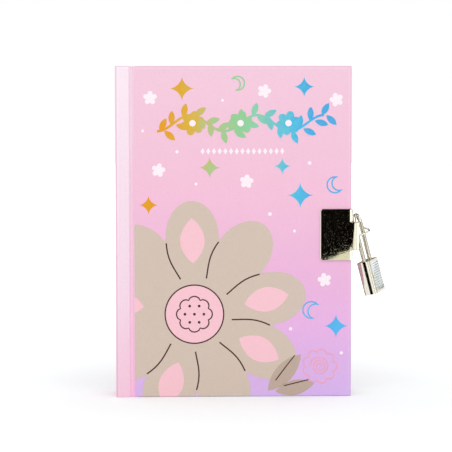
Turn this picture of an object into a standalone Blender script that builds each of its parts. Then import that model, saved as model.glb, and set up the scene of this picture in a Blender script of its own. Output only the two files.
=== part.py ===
"""A small hardback diary that stands on its tail edge, locked with a clasp and a padlock.

Metres, +Z up. The front cover looks towards -Y, the spine is at -X and the fore edge at +X.
Z is 0 at the tail edge of the covers, and X and Y are 0 under the middle of the whole object.
"""

import math

import bmesh
import bpy
from mathutils import Matrix, Vector

# The closed book
HEIGHT = 0.175
WIDTH = 0.1246
THICKNESS = 0.022
SEAT = 0.0003

# The case: boards, spine stiffener and the printed paper that covers them
BOARD = 0.0022
COVER_PAPER = 0.00025
TURN_IN = 0.014
SPINE_BOARD = 0.0018
SHOULDER = 0.0087
GROOVE_GAP = 0.0019
GROOVE_DEPTH = 0.0014
HINGE_STAND_OFF = 0.0002

# The text block
SQUARE = 0.003
ENDPAPER = 0.0002
PASTEDOWN_MARGIN = 0.003
FOLDS = 8
GLUED_BACK = 0.0055
PACKETS = 8
LINING = 0.0004
LINING_SHORTER = 0.006
BAND_RADIUS = 0.0009
BAND_LENGTH = 0.011

# The two clasp plates, cut from one sheet
SHEET = 0.0005
PLATE_HEIGHT = 0.0273
PLATE_REACH = 0.0164
PLATE_LOW = 0.0723
PLATE_CORNER = 0.0015
EAR_RETURN = 0.0022
TONGUE_HEIGHT = 0.0148
TONGUE_RISE = 0.0053
TONGUE_STAND = 0.0029
NOTCH = 0.0006

# The front tongue's slotted end, which stands off to let the shackle's near leg through
SLOT_STAND = 0.00404
SLOT_JOG = 0.0026
SLOT_END = -0.0012
SLOT_FROM = -0.0064
SLOT_TO = -0.0022
SLOT_TOP_BAR = 0.0017
SLOT_FOOT_BAR = 0.0008

# The back strap and the wire staple on it
STRAP_STAND = 0.0022
STRAP_END = -0.0003
STAPLE_WIRE = 0.0010
STAPLE_REACH = 0.0090
STAPLE_RISE = 0.0059
STAPLE_SLOPE = 0.0075
STAPLE_SPREAD = 0.0088

# The padlock, in its own axes: X across its wide face, Y through it, Z up, 0 at the bow's centre
BOW_RISE = 0.0138
BOW_STAND = 0.0044
PADLOCK_TURN = 27.0
PADLOCK_TILT = 14.6
WIRE = 0.0023
LEG_SPACING = 0.0085
LEG_SHOWN = 0.0206
BODY_WIDTH = 0.0140
BODY_DEPTH = 0.0074
BODY_LENGTH = 0.0178
BODY_CORNER = 0.0011
SHELL = 0.0006
SHELL_PARTING = 0.0003
RUNNING = 0.0002
SHORT_LEG_IN = 0.0042
LONG_LEG_IN = 0.0130
LATCH_NOTCH = 0.0007
LATCH_NOTCH_HEIGHT = 0.0013
LATCH_NOTCH_DROP = 0.0017
CATCH_SHEET = 0.0004
CATCH_WIDTH = 0.0026
CATCH_DROP = 0.0086
PLUG_RADIUS = 0.0022
PLUG_GAP = 0.0014
KEYWAY_WIDTH = 0.0009
KEYWAY_HEIGHT = 0.0032
KEYWAY_SHARE = 0.77
RIVET_RADIUS = 0.0005
RIVET_HEAD_RADIUS = 0.0009
RIVET_HEAD = 0.0003
RIVET_INSET = 0.0020

# Roundness
ARC_STEPS = 6
WIRE_SIDES = 12
ROUND_SIDES = 24

# Places that follow from the sizes
TILT = math.radians(PADLOCK_TILT)
TURN = math.radians(PADLOCK_TURN)
BODY_BREADTH = BODY_WIDTH * math.sin(TURN) + BODY_DEPTH * math.cos(TURN)
LOCK_REACH = BOW_STAND + (LEG_SHOWN + BODY_LENGTH) * math.sin(TILT) + BODY_BREADTH / 2 * math.cos(TILT)
SPINE_X = -(WIDTH + LOCK_REACH) / 2
EDGE_X = SPINE_X + WIDTH
FRONT_Y = -THICKNESS / 2
BOARD_INSET = COVER_PAPER + SEAT
COVER_DEPTH = 2 * BOARD_INSET + BOARD
PASTE_Y = -FRONT_Y - COVER_DEPTH - SEAT - ENDPAPER
FLYLEAF_Y = PASTE_Y - SEAT - ENDPAPER
BLOCK_Y = FLYLEAF_Y - SEAT
HINGE_X = SPINE_X + SHOULDER
COVER_X = HINGE_X + GROOVE_GAP
BLOCK_X = SPINE_X + COVER_PAPER + SPINE_BOARD + LINING + 4 * SEAT
BLOCK_END = EDGE_X - SQUARE
LEAF_X = BLOCK_X + GLUED_BACK + SEAT
PACKET_PITCH = (2 * BLOCK_Y + SEAT) / PACKETS
PLATE_Y = FRONT_Y - SEAT - SHEET
TONGUE_LOW = PLATE_LOW + TONGUE_RISE
STAPLE_FOOT = TONGUE_LOW + STAPLE_RISE
BOW_HEIGHT = TONGUE_LOW + BOW_RISE
PLUG_LENGTH = BODY_LENGTH - CATCH_DROP - PLUG_GAP
BODY_TOP = -LEG_SHOWN
BODY_FOOT = BODY_TOP - BODY_LENGTH


def clear_scene():
    """Remove every object, so that the script can run again in one Blender file."""
    for item in list(bpy.data.objects):
        bpy.data.objects.remove(item, do_unlink=True)


def material(name, colour, roughness, metallic=0.0):
    """A plain Principled material, made once for each name."""
    found = bpy.data.materials.get(name)
    if found:
        return found
    made = bpy.data.materials.new(name)
    made.use_nodes = True
    shader = made.node_tree.nodes["Principled BSDF"]
    shader.inputs["Base Color"].default_value = (*colour, 1.0)
    shader.inputs["Roughness"].default_value = roughness
    shader.inputs["Metallic"].default_value = metallic
    return made


def printed_paper():
    return material("printed_cover_paper", (0.87, 0.53, 0.70), 0.45)


def greyboard():
    return material("greyboard", (0.36, 0.33, 0.28), 0.9)


def page_paper():
    return material("ivory_page_paper", (0.84, 0.78, 0.66), 0.85)


def end_paper():
    return material("white_endpaper", (0.86, 0.84, 0.80), 0.8)


def lining_cloth():
    return material("lining_cloth", (0.80, 0.78, 0.72), 0.95)


def nickel():
    return material("nickel_plate", (0.78, 0.76, 0.70), 0.12, 1.0)


def spring_steel():
    return material("spring_steel", (0.45, 0.46, 0.48), 0.3, 1.0)


def cast_zinc():
    return material("cast_zinc", (0.52, 0.53, 0.55), 0.5, 1.0)


def brass():
    return material("plug_brass", (0.72, 0.55, 0.25), 0.3, 1.0)


def add_mesh(name, work, look, smooth=False):
    """Turn a bmesh into a named object with outward normals."""
    bmesh.ops.recalc_face_normals(work, faces=work.faces)
    mesh = bpy.data.meshes.new(name)
    work.to_mesh(mesh)
    work.free()
    if smooth:
        mesh.shade_smooth()
        mesh.set_sharp_from_angle(angle=math.radians(35))
    thing = bpy.data.objects.new(name, mesh)
    thing.data.materials.append(look)
    bpy.context.scene.collection.objects.link(thing)
    return thing


def prism(name, outline, start, end, look, smooth=False, along="Z"):
    """A closed outline pushed straight along Z, or along Y with pairs of (x, z)."""
    work = bmesh.new()
    if along == "Z":
        low = [work.verts.new((a, b, start)) for a, b in outline]
        high = [work.verts.new((a, b, end)) for a, b in outline]
    else:
        low = [work.verts.new((a, start, b)) for a, b in outline]
        high = [work.verts.new((a, end, b)) for a, b in outline]
    work.faces.new(low)
    work.faces.new(high)
    for i in range(len(outline)):
        j = (i + 1) % len(outline)
        work.faces.new((low[i], low[j], high[j], high[i]))
    return add_mesh(name, work, look, smooth)


def box(name, low, high, look):
    """A plain box between two corners."""
    outline = [(low[0], low[1]), (high[0], low[1]), (high[0], high[1]), (low[0], high[1])]
    return prism(name, outline, low[2], high[2], look)


def arc(centre, radius, start, end, steps=ARC_STEPS):
    """Points on a circle, from one angle to another, in degrees."""
    points = []
    for i in range(steps + 1):
        angle = math.radians(start + (end - start) * i / steps)
        points.append((centre[0] + radius * math.cos(angle), centre[1] + radius * math.sin(angle)))
    return points


def rounded_outline(low, high, radius):
    """A rectangle with four round corners."""
    points = arc((high[0] - radius, high[1] - radius), radius, 0, 90)
    points += arc((low[0] + radius, high[1] - radius), radius, 90, 180)
    points += arc((low[0] + radius, low[1] + radius), radius, 180, 270)
    points += arc((high[0] - radius, low[1] + radius), radius, 270, 360)
    return points


def ribbon(path, thickness):
    """The outline of a bent sheet, from the path of one face; the sheet lies on the path's left."""
    points = [Vector(p) for p in path]
    inner = []
    for i, here in enumerate(points):
        before = (here - points[i - 1]).normalized() if i else None
        after = (points[i + 1] - here).normalized() if i + 1 < len(points) else None
        along = ((before or after) + (after or before)).normalized()
        side = Vector((-along.y, along.x))
        edge = before or after
        lean = side.dot(Vector((-edge.y, edge.x)))
        inner.append(here + side * thickness / lean)
    return [tuple(p) for p in points] + [tuple(p) for p in reversed(inner)]


def tube(name, path, radius, look):
    """A round wire along a list of points, its rings set on the bisecting planes."""
    work = bmesh.new()
    points = [Vector(p) for p in path]
    rings = []
    side = (points[1] - points[0]).orthogonal().normalized()
    for i, here in enumerate(points):
        before = (here - points[max(i - 1, 0)]).normalized()
        after = (points[min(i + 1, len(points) - 1)] - here).normalized()
        along = (before + after).normalized()
        side = (side - along * side.dot(along)).normalized()
        cross = along.cross(side)
        bend = (before - after) / 2
        stretch = 1.0 / max(0.5, along.dot(after if after.length else before))
        ring = []
        for k in range(WIRE_SIDES):
            angle = 2 * math.pi * k / WIRE_SIDES
            spoke = side * math.cos(angle) + cross * math.sin(angle)
            if 0 < i < len(points) - 1 and bend.length > 1e-6:
                axis = bend.normalized()
                spoke = spoke + axis * spoke.dot(axis) * (stretch - 1.0)
            ring.append(work.verts.new(here + spoke * radius))
        rings.append(ring)
    for near, far in zip(rings, rings[1:]):
        for k in range(WIRE_SIDES):
            m = (k + 1) % WIRE_SIDES
            work.faces.new((near[k], near[m], far[m], far[k]))
    work.faces.new(rings[0])
    work.faces.new(rings[-1])
    return add_mesh(name, work, look, smooth=True)


def rod(name, centre, radius, start, end, look, along="Z", sides=ROUND_SIDES):
    """A straight round bar along one axis."""
    outline = arc(centre, radius, 0, 360 - 360 / sides, sides - 1)
    return prism(name, outline, start, end, look, True, along)


def combine(target, tool, operation):
    """Join a helper shape to a piece, or cut it out, and delete the helper."""
    step = target.modifiers.new("step", "BOOLEAN")
    step.operation = operation
    step.solver = "EXACT"
    step.object = tool
    bpy.context.view_layer.update()
    evaluated = target.evaluated_get(bpy.context.evaluated_depsgraph_get())
    result = bpy.data.meshes.new_from_object(evaluated)
    target.modifiers.remove(step)
    old = target.data
    target.data = result
    bpy.data.meshes.remove(old)
    bpy.data.objects.remove(tool, do_unlink=True)
    return target


def cut(target, tool):
    return combine(target, tool, "DIFFERENCE")


def join(target, tool):
    return combine(target, tool, "UNION")


def mirror_to_back(thing, name):
    """Give the back cover's own copy of a front piece, reflected through the book's middle plane."""
    mesh = thing.data.copy()
    mesh.transform(Matrix.Scale(-1, 4, Vector((0, 1, 0))))
    mesh.flip_normals()
    copy = bpy.data.objects.new(name, mesh)
    bpy.context.scene.collection.objects.link(copy)
    return copy


def set_origin(things, place):
    """Put each piece's origin on its joint's axis, without moving its shape."""
    for thing in things:
        thing.data.transform(Matrix.Translation(-Vector(place)))
        thing.location = place


def cover_pieces():
    """One cover: its board, the printed paper folded round three edges, and the pastedown."""
    look = printed_paper()
    board = box(
        "front_board",
        (COVER_X + SEAT, FRONT_Y + BOARD_INSET, BOARD_INSET),
        (EDGE_X - BOARD_INSET, FRONT_Y + BOARD_INSET + BOARD, HEIGHT - BOARD_INSET),
        greyboard(),
    )
    inner_y = FRONT_Y + COVER_DEPTH
    paper = box("front_cover_paper", (COVER_X, FRONT_Y, 0), (EDGE_X, inner_y, HEIGHT), look)
    hollow = box(
        "hollow",
        (COVER_X - TURN_IN, FRONT_Y + COVER_PAPER, COVER_PAPER),
        (EDGE_X - COVER_PAPER, inner_y - COVER_PAPER, HEIGHT - COVER_PAPER),
        look,
    )
    paper = cut(paper, hollow)
    opening = box(
        "opening",
        (COVER_X - TURN_IN, inner_y - 2 * COVER_PAPER, TURN_IN),
        (EDGE_X - TURN_IN, inner_y + SEAT, HEIGHT - TURN_IN),
        look,
    )
    paper = cut(paper, opening)
    # The paper runs on past the board into the groove, down to the hinge line.
    groove = [
        (COVER_X - COVER_PAPER, FRONT_Y),
        (COVER_X - GROOVE_GAP / 2, FRONT_Y + GROOVE_DEPTH),
        (HINGE_X + SEAT / 2, FRONT_Y + GROOVE_DEPTH),
    ]
    lip = ribbon([(COVER_X + COVER_PAPER, FRONT_Y)] + groove, -COVER_PAPER)
    flap = prism("flap", lip, 0, HEIGHT, look)
    paper = join(paper, flap)
    paste_y = -PASTE_Y - ENDPAPER
    pastedown = box(
        "front_pastedown",
        (COVER_X + SEAT, paste_y, PASTEDOWN_MARGIN),
        (EDGE_X - PASTEDOWN_MARGIN, paste_y + ENDPAPER, HEIGHT - PASTEDOWN_MARGIN),
        end_paper(),
    )
    return [board, paper, pastedown]


def spine_pieces():
    """The spine: stiffener, printed paper with its two shoulders, lining and bands."""
    half = -FRONT_Y
    board_edge = half - BOARD_INSET
    stiffener = box(
        "spine_board",
        (SPINE_X + BOARD_INSET, -board_edge, BOARD_INSET),
        (SPINE_X + BOARD_INSET + SPINE_BOARD, board_edge, HEIGHT - BOARD_INSET),
        greyboard(),
    )
    corner = BOARD_INSET
    shoulder_end = HINGE_X - SEAT / 2
    dip = shoulder_end - GROOVE_GAP
    front = [(shoulder_end, -half + GROOVE_DEPTH), (dip + GROOVE_GAP / 2, -half + GROOVE_DEPTH), (dip, -half)]
    front += arc((SPINE_X + corner, -half + corner), corner, 270, 180, 4)
    back = [(x, -y) for x, y in reversed(front)]
    outline = ribbon(front + back, -COVER_PAPER)
    paper = prism("spine_cover_paper", outline, 0, HEIGHT, printed_paper())
    lining_x = BLOCK_X - SEAT - LINING
    lining = box(
        "spine_lining",
        (lining_x, -BLOCK_Y, SQUARE + LINING_SHORTER),
        (lining_x + LINING, BLOCK_Y, HEIGHT - SQUARE - LINING_SHORTER),
        lining_cloth(),
    )
    bands = []
    length = min(BAND_LENGTH / 2, BLOCK_Y)
    for name, z in (("head_band", HEIGHT - SQUARE + SEAT), ("tail_band", SQUARE - SEAT)):
        up = 1 if name == "head_band" else -1
        rise = arc((BLOCK_X + BAND_RADIUS, z), BAND_RADIUS, 0, 180 * up, 8)
        bands.append(prism(name, rise, -length, length, lining_cloth(), True, "Y"))
    return [stiffener, paper, lining] + bands


def block_pieces():
    """The text block: its glued and sewn back, the leaves in packets, and the two flyleaves."""
    low_z = SQUARE
    high_z = HEIGHT - SQUARE
    fold = BLOCK_Y / FOLDS
    outline = [(LEAF_X - SEAT, -BLOCK_Y), (LEAF_X - SEAT, BLOCK_Y)]
    for i in range(FOLDS):
        middle = BLOCK_Y - (2 * i + 1) * fold
        outline += arc((BLOCK_X + fold, middle), fold, 90, 270)[0 if i == 0 else 1 :]
    prism("sewn_back", outline, low_z, high_z, page_paper(), True)
    low = (LEAF_X, -FLYLEAF_Y - ENDPAPER, low_z)
    flyleaf = box("front_flyleaf", low, (BLOCK_END, -FLYLEAF_Y, high_z), end_paper())
    mirror_to_back(flyleaf, "back_flyleaf")
    packets = []
    for i in range(PACKETS):
        y = -BLOCK_Y + i * PACKET_PITCH
        high = (BLOCK_END, y + PACKET_PITCH - SEAT, high_z)
        packets.append(box(f"leaves_{i + 1}", (LEAF_X, y, low_z), high, page_paper()))
    return flyleaf, packets


def plate_face(name, look):
    """A clasp plate's flat face, with its two corners away from the edge rounded."""
    low_x = EDGE_X - PLATE_REACH
    top = PLATE_LOW + PLATE_HEIGHT
    outline = [(EDGE_X + SEAT, PLATE_LOW), (EDGE_X + SEAT, top)]
    outline += arc((low_x + PLATE_CORNER, top - PLATE_CORNER), PLATE_CORNER, 90, 180)
    outline += arc((low_x + PLATE_CORNER, PLATE_LOW + PLATE_CORNER), PLATE_CORNER, 180, 270)
    return prism(name, outline, PLATE_Y, PLATE_Y + SHEET, look, True, "Y")


def plate_ears(plate, look):
    """Two ears that run round the board's edge and grip its inner face."""
    grip_y = FRONT_Y + COVER_DEPTH + SEAT
    path = [
        (EDGE_X - SHEET, PLATE_Y),
        (EDGE_X + SEAT, PLATE_Y),
        (EDGE_X + SEAT + SHEET, PLATE_Y + SHEET),
        (EDGE_X + SEAT + SHEET, grip_y),
        (EDGE_X + SEAT, grip_y + SHEET),
        (EDGE_X + SEAT - EAR_RETURN, grip_y + SHEET),
    ]
    outline = ribbon(path, SHEET)
    tongue_top = TONGUE_LOW + TONGUE_HEIGHT
    spans = ((PLATE_LOW, TONGUE_LOW - NOTCH), (tongue_top + NOTCH, PLATE_LOW + PLATE_HEIGHT))
    for low, high in spans:
        plate = join(plate, prism("ear", outline, low, high, look))
    return plate


def front_clasp():
    """The front plate, whose tongue bends back along the fore edge and ends in a slot."""
    look = nickel()
    plate = plate_ears(plate_face("front_clasp_plate", look), look)
    bend = TONGUE_STAND - SHEET
    centre = (EDGE_X + bend - SHEET, PLATE_Y + 2 * SHEET)
    path = [(EDGE_X - SHEET, PLATE_Y)] + arc(centre, 2 * SHEET, 270, 360, 4)
    path += [
        (EDGE_X + TONGUE_STAND, PLATE_Y + SLOT_JOG),
        (EDGE_X + SLOT_STAND + SHEET, PLATE_Y + SLOT_JOG + SLOT_STAND - TONGUE_STAND + SHEET),
        (EDGE_X + SLOT_STAND + SHEET, SLOT_END),
    ]
    tongue = prism("tongue", ribbon(path, SHEET), TONGUE_LOW, TONGUE_LOW + TONGUE_HEIGHT, look)
    slot = box(
        "slot",
        (EDGE_X + SLOT_STAND - SHEET, SLOT_FROM, TONGUE_LOW + SLOT_FOOT_BAR),
        (EDGE_X + SLOT_STAND + 2 * SHEET, SLOT_TO, TONGUE_LOW + TONGUE_HEIGHT - SLOT_TOP_BAR),
        look,
    )
    return join(plate, cut(tongue, slot))


def back_clasp():
    """The back plate, whose plain strap comes forward under the slotted tongue and holds the staple."""
    look = nickel()
    plate = plate_ears(plate_face("half", look), look)
    centre = (EDGE_X + STRAP_STAND - SHEET, PLATE_Y + 2 * SHEET)
    path = [(EDGE_X - SHEET, PLATE_Y)] + arc(centre, 2 * SHEET, 270, 360, 4)
    path.append((EDGE_X + STRAP_STAND + SHEET, -STRAP_END))
    strap = prism("strap", ribbon(path, SHEET), TONGUE_LOW, TONGUE_LOW + TONGUE_HEIGHT, look)
    plate = join(plate, strap)
    back = mirror_to_back(plate, "back_clasp_plate")
    bpy.data.objects.remove(plate, do_unlink=True)
    return back


def staple():
    """A bent wire staple whose two ends are brazed to the strap; its rear end sits higher."""
    foot_x = EDGE_X + STRAP_STAND + SHEET + SEAT
    middle_y = LEG_SPACING * math.cos(TURN) / 2
    nose = Vector((foot_x + STAPLE_REACH, middle_y, STAPLE_FOOT + STAPLE_SLOPE / 2))
    low = Vector((foot_x, middle_y - STAPLE_SPREAD / 2, STAPLE_FOOT))
    high = Vector((foot_x, middle_y + STAPLE_SPREAD / 2, STAPLE_FOOT + STAPLE_SLOPE))
    radius = STAPLE_WIRE / 2
    round_off = 2 * STAPLE_WIRE
    start = nose + (low - nose).normalized() * round_off
    end = nose + (high - nose).normalized() * round_off
    bend = []
    for i in range(ARC_STEPS + 1):
        t = i / ARC_STEPS
        bend.append(start * (1 - t) ** 2 + nose * 2 * t * (1 - t) + end * t**2)
    return tube("lock_staple", [low] + bend + [high], radius, nickel())


def shackle():
    """The padlock's bow: a long and a short leg, the short one notched for the catch."""
    x = LEG_SPACING / 2
    short_end = BODY_TOP - SHORT_LEG_IN
    long_end = BODY_TOP - LONG_LEG_IN
    bow = [(px, 0, pz) for px, pz in arc((0, 0), x, 180, 0, 16)]
    path = [(-x, 0, short_end)] + bow + [(x, 0, long_end)]
    wire = tube("padlock_shackle", path, WIRE / 2, nickel())
    top = BODY_TOP - LATCH_NOTCH_DROP
    notch = box(
        "notch",
        (-x + WIRE / 2 - LATCH_NOTCH, -WIRE, top - LATCH_NOTCH_HEIGHT),
        (-x + WIRE, WIRE, top),
        nickel(),
    )
    return cut(wire, notch)


def rivet_places():
    """Three rivets: beside the short leg, and at the two lower corners."""
    side = BODY_WIDTH / 2 - RIVET_INSET
    return [
        (-side, (BODY_TOP + BODY_FOOT) / 2),
        (-side, BODY_FOOT + RIVET_INSET),
        (side, BODY_FOOT + RIVET_INSET),
    ]


def leg_bores(thing, look, low):
    """Cut the running bores of both legs."""
    x = LEG_SPACING / 2
    radius = WIRE / 2 + RUNNING
    for place, depth in ((-x, SHORT_LEG_IN), (x, LONG_LEG_IN)):
        end = max(low, BODY_TOP - depth - 2 * RUNNING)
        thing = cut(thing, rod("bore", (place, 0), radius, end, BODY_TOP + SHELL, look))
    return thing


def padlock_shells():
    """Two pressed half shells that meet on the padlock's middle plane."""
    look = nickel()
    half = BODY_WIDTH / 2
    depth = BODY_DEPTH / 2
    outer = rounded_outline((-half, -depth), (half, depth), BODY_CORNER)
    inner = rounded_outline((-half + SHELL, -depth + SHELL), (half - SHELL, depth - SHELL), BODY_CORNER - SHELL)
    shells = []
    for name, side in (("padlock_front_shell", -1), ("padlock_back_shell", 1)):
        shell = prism(name, outer, BODY_FOOT, BODY_TOP, look, True)
        shell = cut(shell, prism("hollow", inner, BODY_FOOT + SHELL, BODY_TOP - SHELL, look, True))
        for place in rivet_places():
            hole = rod("hole", place, RIVET_RADIUS + RUNNING, -depth - SHELL, depth + SHELL, look, "Y", 12)
            shell = cut(shell, hole)
        far = SHELL_PARTING / 2 * side
        low, high = sorted((far, -side * 2 * depth))
        other = box("other", (-2 * half, low, BODY_FOOT - SHELL), (2 * half, high, BODY_TOP + SHELL), look)
        shell = cut(shell, other)
        shell = leg_bores(shell, look, BODY_TOP - 2 * SHELL)
        plug_hole = rod("hole", (0, 0), PLUG_RADIUS + RUNNING, BODY_FOOT - SHELL, BODY_FOOT + 2 * SHELL, look)
        shell = cut(shell, plug_hole)
        shells.append(shell)
    return shells


def padlock_core():
    """The cast insert that guides the legs, the catch and the key plug."""
    look = cast_zinc()
    half = BODY_WIDTH / 2 - SHELL - SEAT
    depth = BODY_DEPTH / 2 - SHELL - SEAT
    outline = rounded_outline((-half, -depth), (half, depth), BODY_CORNER - SHELL)
    low = BODY_FOOT + SHELL + SEAT
    high = BODY_TOP - SHELL - SEAT
    core = prism("padlock_core", outline, low, high, look, True)
    core = leg_bores(core, look, low + SHELL)
    plug_top = BODY_FOOT + PLUG_LENGTH + 2 * RUNNING
    core = cut(core, rod("bore", (0, 0), PLUG_RADIUS + RUNNING, low - SHELL, plug_top, look))
    wide = CATCH_WIDTH / 2 + RUNNING
    pocket = box(
        "pocket",
        (-LEG_SPACING / 2, -wide, BODY_TOP - CATCH_DROP - RUNNING),
        (2 * CATCH_SHEET + RUNNING, wide, BODY_TOP - LATCH_NOTCH_DROP + 2 * RUNNING),
        look,
    )
    core = cut(core, pocket)
    for place in rivet_places():
        hole = rod("hole", place, RIVET_RADIUS + RUNNING, -2 * depth, 2 * depth, look, "Y", 12)
        core = cut(core, hole)
    return core


def catch_spring():
    """A bent leaf whose hooked end springs into the short leg's notch."""
    notch_x = -LEG_SPACING / 2 + WIRE / 2 - LATCH_NOTCH
    hook_z = BODY_TOP - LATCH_NOTCH_DROP - RUNNING
    path = [
        (notch_x + RUNNING, hook_z),
        (-CATCH_SHEET, hook_z),
        (2 * CATCH_SHEET, hook_z - 2 * CATCH_SHEET),
        (2 * CATCH_SHEET, BODY_TOP - CATCH_DROP),
    ]
    outline = ribbon(path, -CATCH_SHEET)
    return prism("catch_spring", outline, -CATCH_WIDTH / 2, CATCH_WIDTH / 2, spring_steel(), False, "Y")


def key_plug():
    """The turning plug with its keyway."""
    look = brass()
    plug = rod("key_plug", (0, 0), PLUG_RADIUS, BODY_FOOT, BODY_FOOT + PLUG_LENGTH, look)
    keyway = box(
        "keyway",
        (-KEYWAY_WIDTH / 2, -KEYWAY_HEIGHT / 2, BODY_FOOT - SHELL),
        (KEYWAY_WIDTH / 2, KEYWAY_HEIGHT / 2, BODY_FOOT + PLUG_LENGTH * KEYWAY_SHARE),
        look,
    )
    return cut(plug, keyway)


def padlock_rivets():
    """The three rivets, each a pin with a flat head at both ends."""
    look = nickel()
    reach = BODY_DEPTH / 2 + SEAT
    rivets = []
    for i, place in enumerate(rivet_places()):
        rivet = rod(f"padlock_rivet_{i + 1}", place, RIVET_RADIUS, -reach, reach, look, "Y", 12)
        for side in (-1, 1):
            low, high = sorted((side * reach, side * (reach + RIVET_HEAD)))
            head = rod("head", place, RIVET_HEAD_RADIUS, low, high, look, "Y", 12)
            rivet = join(rivet, head)
        rivets.append(rivet)
    return rivets


def hang_padlock(pieces):
    """Turn the padlock about its length, tilt it and hang its bow over the slotted tongue."""
    bow = Vector((EDGE_X + BOW_STAND, 0, BOW_HEIGHT))
    empty = bpy.data.objects.new("padlock_swing", None)
    bpy.context.scene.collection.objects.link(empty)
    empty.matrix_world = (
        Matrix.Translation(bow) @ Matrix.Rotation(-TILT, 4, "Y") @ Matrix.Rotation(math.pi / 2 - TURN, 4, "Z")
    )
    for thing in pieces:
        thing.parent = empty


def build():
    """Model every piece and put its origin on its joint."""
    clear_scene()
    cover = cover_pieces()
    spine_pieces()
    flyleaf, packets = block_pieces()
    names = ("back_board", "back_cover_paper", "back_pastedown")
    back = [mirror_to_back(thing, name) for thing, name in zip(cover, names)]
    hinge_y = FRONT_Y - HINGE_STAND_OFF
    set_origin(cover + [front_clasp()], (HINGE_X, hinge_y, 0))
    set_origin(back + [back_clasp(), staple()], (HINGE_X, -hinge_y, 0))
    set_origin([flyleaf] + packets[:-1], (LEAF_X, -BLOCK_Y, 0))
    pieces = [shackle(), padlock_core(), catch_spring(), key_plug()]
    hang_padlock(pieces + padlock_shells() + padlock_rivets())


build()
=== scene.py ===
"""A locked hardback diary: printed covers, sewn leaves, a chromed clasp and a small padlock.

Each section is one piece or group of like pieces, in the order in which such a diary is put together.
"""

import math
import random

import bpy
from mathutils import Matrix, Quaternion, Vector


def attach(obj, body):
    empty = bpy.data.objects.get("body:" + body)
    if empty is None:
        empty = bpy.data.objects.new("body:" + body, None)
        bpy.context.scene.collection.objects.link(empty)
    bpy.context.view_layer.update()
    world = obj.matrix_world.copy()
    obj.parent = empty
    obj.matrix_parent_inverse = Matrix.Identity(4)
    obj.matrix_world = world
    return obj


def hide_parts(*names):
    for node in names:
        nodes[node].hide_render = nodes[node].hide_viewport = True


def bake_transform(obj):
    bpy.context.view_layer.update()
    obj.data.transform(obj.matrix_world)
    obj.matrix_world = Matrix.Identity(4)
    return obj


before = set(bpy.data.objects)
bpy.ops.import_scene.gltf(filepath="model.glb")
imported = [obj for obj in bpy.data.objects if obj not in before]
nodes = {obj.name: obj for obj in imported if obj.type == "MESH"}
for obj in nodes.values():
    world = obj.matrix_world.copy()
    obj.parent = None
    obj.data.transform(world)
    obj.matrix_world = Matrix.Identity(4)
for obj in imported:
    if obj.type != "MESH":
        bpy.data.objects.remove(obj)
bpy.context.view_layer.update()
bpy.ops.object.select_all(action="DESELECT")


# The studio: a sheet of white paper under the diary, a white room and one large soft lamp.
# The room is white to the camera and to metal, and lights matt surfaces at a plain level.
def linear(code):
    """A colour written as sRGB hex, turned into the linear RGBA that the nodes take."""
    parts = [int(code[i : i + 2], 16) / 255 for i in (1, 3, 5)]
    return (*[p / 12.92 if p <= 0.04045 else ((p + 0.055) / 1.055) ** 2.4 for p in parts], 1.0)


def add(tree, kind, sockets=None, stops=(), **settings):
    """One node with its settings, values, links and colour stops. It gives the node's outputs.

    The first two stops are a ramp's two ends; any others come between them.
    """
    made = tree.nodes.new(kind)
    for name, value in settings.items():
        setattr(made, name, value)
    for name, value in (sockets or {}).items():
        if isinstance(value, bpy.types.NodeSocket):
            tree.links.new(value, made.inputs[name])
        else:
            made.inputs[name].default_value = value
    for i, (place, code) in enumerate(stops):
        stop = made.color_ramp.elements[i] if i < 2 else made.color_ramp.elements.new(place)
        stop.position = place
        stop.color = linear(code)
    return made.outputs


LIGHT_ON_MATT = 0.88
MORE_WHEN_SEEN = 0.12
room = bpy.data.worlds.new("white_room")
bpy.context.scene.world = room
room.use_nodes = True
tree = room.node_tree
rays = add(tree, "ShaderNodeLightPath")
seen = {0: rays["Is Camera Ray"], 1: rays["Is Glossy Ray"]}
seen = {0: add(tree, "ShaderNodeMath", seen, operation="MAXIMUM")[0], 1: rays["Is Transmission Ray"]}
seen = add(tree, "ShaderNodeMath", seen, operation="MAXIMUM")[0]
levels = {0: seen, 1: MORE_WHEN_SEEN, 2: LIGHT_ON_MATT}
level = add(tree, "ShaderNodeMath", levels, operation="MULTIPLY_ADD")[0]
tree.nodes["Background"].inputs["Color"].default_value = (1.0, 1.0, 1.0, 1.0)
tree.links.new(level, tree.nodes["Background"].inputs["Strength"])

bpy.ops.mesh.primitive_plane_add(size=8, location=(0, 0, -0.0001))
floor = bpy.context.active_object
floor.name = "paper_sweep"
look = bpy.data.materials.new("white_paper_sweep")
look.use_nodes = True
tree = look.node_tree
tree.nodes.remove(tree.nodes["Principled BSDF"])
rays = add(tree, "ShaderNodeLightPath")
seen = {0: rays["Is Camera Ray"], 1: rays["Is Glossy Ray"]}
seen = add(tree, "ShaderNodeMath", seen, operation="MAXIMUM")[0]
place = add(tree, "ShaderNodeTexCoord")["Object"]
away = add(tree, "ShaderNodeVectorMath", {0: place}, operation="LENGTH")["Value"]
spread = {"Value": away, "From Min": 0.1, "From Max": 0.6, "To Min": 0.06, "To Max": 0.5}
glow = add(tree, "ShaderNodeMapRange", spread)["Result"]
glow = add(tree, "ShaderNodeMath", {0: seen, 1: glow}, operation="MULTIPLY")[0]
matt = add(tree, "ShaderNodeBsdfDiffuse", {"Color": (0.925, 0.957, 0.957, 1.0)})[0]
light = add(tree, "ShaderNodeEmission", {"Strength": glow})[0]
both = add(tree, "ShaderNodeAddShader", {0: matt, 1: light})[0]
tree.links.new(both, tree.nodes["Material Output"].inputs["Surface"])
floor.data.materials.append(look)

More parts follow.
